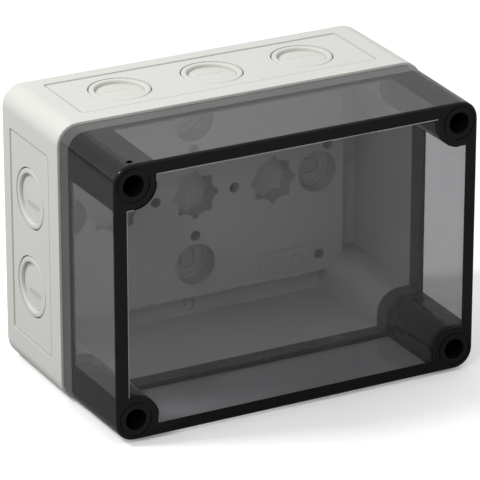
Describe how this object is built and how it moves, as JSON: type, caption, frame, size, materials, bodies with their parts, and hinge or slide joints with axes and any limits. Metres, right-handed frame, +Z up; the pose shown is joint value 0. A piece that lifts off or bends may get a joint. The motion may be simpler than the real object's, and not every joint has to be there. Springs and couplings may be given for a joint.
{
  "type": "electrical junction box",
  "caption": "Wall-mounted electrical enclosure: grey base with tear-out cable entries and a deep smoked see-through cover held by captive corner screws.",
  "frame": {"origin": "middle of the box's outline, on the surface that its lower side stands on", "axes": "+Z up, -Y out of the cover's front, +Y out of the back that goes against a wall, +X to the right seen from the front"},
  "size_m": [0.18, 0.111, 0.13],
  "materials": {
    "grey_plastic": "light grey, finely textured moulded plastic",
    "smoked_plastic": "smoked see-through polycarbonate, polished",
    "rubber": "black, matt",
    "screw_steel": "zinc plated",
    "insert_brass": "turned"
  },
  "bodies": {
    "base": {"base": "grey_plastic", "entry_ring_top_1": "grey_plastic", "entry_disc_top_1": "grey_plastic", "entry_ring_top_2": "grey_plastic", "entry_disc_top_2": "grey_plastic", "entry_ring_top_3": "grey_plastic", "entry_disc_top_3": "grey_plastic", "entry_ring_bottom_1": "grey_plastic", "entry_disc_bottom_1": "grey_plastic", "entry_ring_bottom_2": "grey_plastic", "entry_disc_bottom_2": "grey_plastic", "entry_ring_bottom_3": "grey_plastic", "entry_disc_bottom_3": "grey_plastic", "entry_ring_left_1": "grey_plastic", "entry_disc_left_1": "grey_plastic", "entry_ring_left_2": "grey_plastic", "entry_disc_left_2": "grey_plastic", "entry_ring_right_1": "grey_plastic", "entry_disc_right_1": "grey_plastic", "entry_ring_right_2": "grey_plastic", "entry_disc_right_2": "grey_plastic", "threaded_insert_top_right": "insert_brass", "threaded_insert_top_left": "insert_brass", "threaded_insert_bottom_left": "insert_brass", "threaded_insert_bottom_right": "insert_brass"},
    "cover": {"cover": "smoked_plastic", "cover_gasket": "rubber"},
    "seal_top_right": {"screw_seal_top_right": "rubber"},
    "screw_top_right": {"cover_screw_top_right": "screw_steel"},
    "seal_top_left": {"screw_seal_top_left": "rubber"},
    "screw_top_left": {"cover_screw_top_left": "screw_steel"},
    "seal_bottom_left": {"screw_seal_bottom_left": "rubber"},
    "screw_bottom_left": {"cover_screw_bottom_left": "screw_steel"},
    "seal_bottom_right": {"screw_seal_bottom_right": "rubber"},
    "screw_bottom_right": {"cover_screw_bottom_right": "screw_steel"}
  },
  "joints": [
    {"name": "cover_lift", "type": "slide", "parent": "base", "child": "cover", "axis": [0, -1, 0], "range_m": [0, 0.08]},
    {"name": "screw_rise_top_right", "type": "slide", "parent": "cover", "child": "seal_top_right", "axis": [0, -1, 0], "range_m": [0, 0.0075]},
    {"name": "screw_turn_top_right", "type": "hinge", "parent": "seal_top_right", "child": "screw_top_right", "pos_m": [0.0793, -0.0146, 0.119], "axis": [0, -1, 0], "range_deg": [0, 1800]},
    {"name": "screw_rise_top_left", "type": "slide", "parent": "cover", "child": "seal_top_left", "axis": [0, -1, 0], "range_m": [0, 0.0075]},
    {"name": "screw_turn_top_left", "type": "hinge", "parent": "seal_top_left", "child": "screw_top_left", "pos_m": [-0.0793, -0.0146, 0.119], "axis": [0, -1, 0], "range_deg": [0, 1800]},
    {"name": "screw_rise_bottom_left", "type": "slide", "parent": "cover", "child": "seal_bottom_left", "axis": [0, -1, 0], "range_m": [0, 0.0075]},
    {"name": "screw_turn_bottom_left", "type": "hinge", "parent": "seal_bottom_left", "child": "screw_bottom_left", "pos_m": [-0.0793, -0.0146, 0.011], "axis": [0, -1, 0], "range_deg": [0, 1800]},
    {"name": "screw_rise_bottom_right", "type": "slide", "parent": "cover", "child": "seal_bottom_right", "axis": [0, -1, 0], "range_m": [0, 0.0075]},
    {"name": "screw_turn_bottom_right", "type": "hinge", "parent": "seal_bottom_right", "child": "screw_bottom_right", "pos_m": [0.0793, -0.0146, 0.011], "axis": [0, -1, 0], "range_deg": [0, 1800]}
  ],
  "couplings": [
    {"joint": "screw_turn_top_right", "follows": "screw_rise_top_right", "rad_per_m": 4188.8},
    {"joint": "screw_turn_top_left", "follows": "screw_rise_top_left", "rad_per_m": 4188.8},
    {"joint": "screw_turn_bottom_left", "follows": "screw_rise_bottom_left", "rad_per_m": 4188.8},
    {"joint": "screw_turn_bottom_right", "follows": "screw_rise_bottom_right", "rad_per_m": 4188.8}
  ]
}
